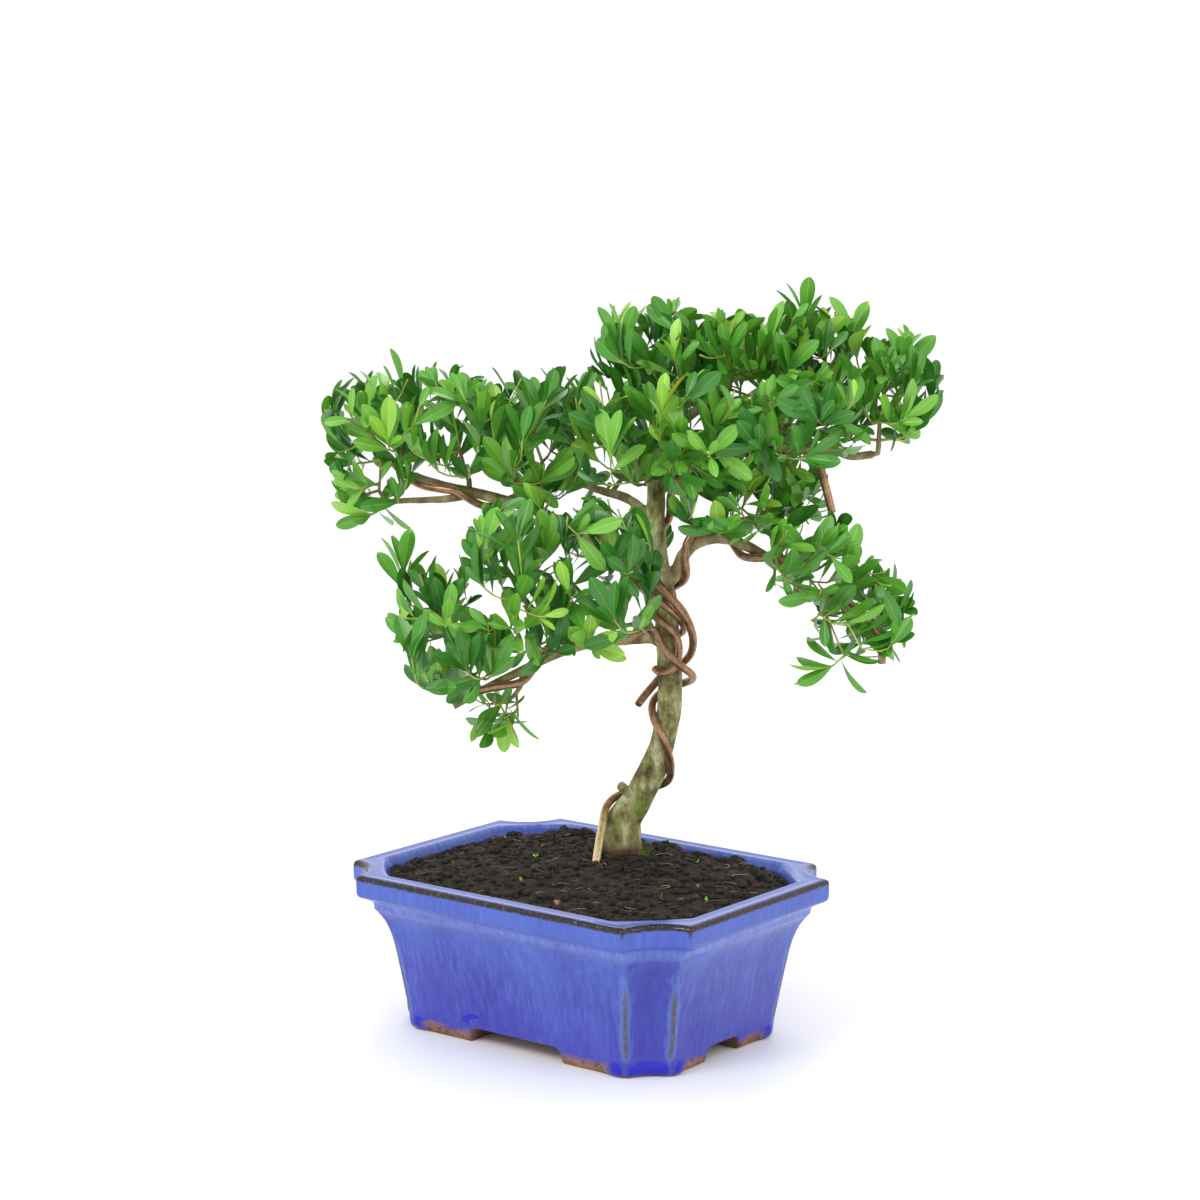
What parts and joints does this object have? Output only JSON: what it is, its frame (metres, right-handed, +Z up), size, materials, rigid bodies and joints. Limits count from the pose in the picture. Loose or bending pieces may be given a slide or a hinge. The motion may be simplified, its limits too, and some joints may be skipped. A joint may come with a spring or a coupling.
{
  "type": "potted japanese holly bonsai",
  "caption": "Japanese holly trained as a bonsai, with a leaning wired trunk, spreading boughs and pads of small glossy leaves, in soil in a rectangular blue-glazed pot on low feet.",
  "frame": {"origin": "middle of the pot's footprint, on the surface that the pot stands on", "axes": "+Z up, +X along the pot's long side towards the right in the picture, +Y along its short side away from the viewer"},
  "size_m": [0.3137, 0.2239, 0.3724],
  "materials": {
    "blue_glaze": "glossy cobalt glaze over brown stoneware",
    "peat": "dark crumbly peat soil",
    "bark": "grey-green bark with lichen",
    "wire": "copper-brown anodised, satin",
    "leaf_green": "glossy green leaves on fine twigs"
  },
  "bodies": {
    "root": {"pot": "blue_glaze", "soil": "peat", "trunk": "bark", "bough_right_low_inner": "bark", "bough_right_low_outer": "bark", "bough_left_low": "bark", "bough_left_high": "bark", "bough_left_high_upper": "bark", "bough_left_high_lower": "bark", "bough_right_high": "bark", "bough_top": "bark", "bough_back_left": "bark", "bough_back_right": "bark", "bough_back_low": "bark", "wire_left_low": "wire", "wire_right_high": "wire", "wire_right_low": "wire", "wire_left_high": "wire", "foliage_left_high_tip": "leaf_green", "foliage_left_high_under": "leaf_green", "foliage_left_high_mid": "leaf_green", "foliage_left_high_inner": "leaf_green", "foliage_left_low_tip": "leaf_green", "foliage_left_low_hanging": "leaf_green", "foliage_left_low_mid": "leaf_green", "foliage_left_low_inner": "leaf_green", "foliage_centre_left": "leaf_green", "foliage_top_left": "leaf_green", "foliage_top_mid": "leaf_green", "foliage_top_right": "leaf_green", "foliage_right_high": "leaf_green", "foliage_right_high_inner": "leaf_green", "foliage_centre": "leaf_green", "foliage_centre_low": "leaf_green", "foliage_centre_right": "leaf_green", "foliage_right_low_inner": "leaf_green", "foliage_right_low_tip": "leaf_green", "foliage_back_left": "leaf_green", "foliage_back_mid": "leaf_green", "foliage_back_right": "leaf_green", "foliage_back_low": "leaf_green"}
  },
  "joints": []
}
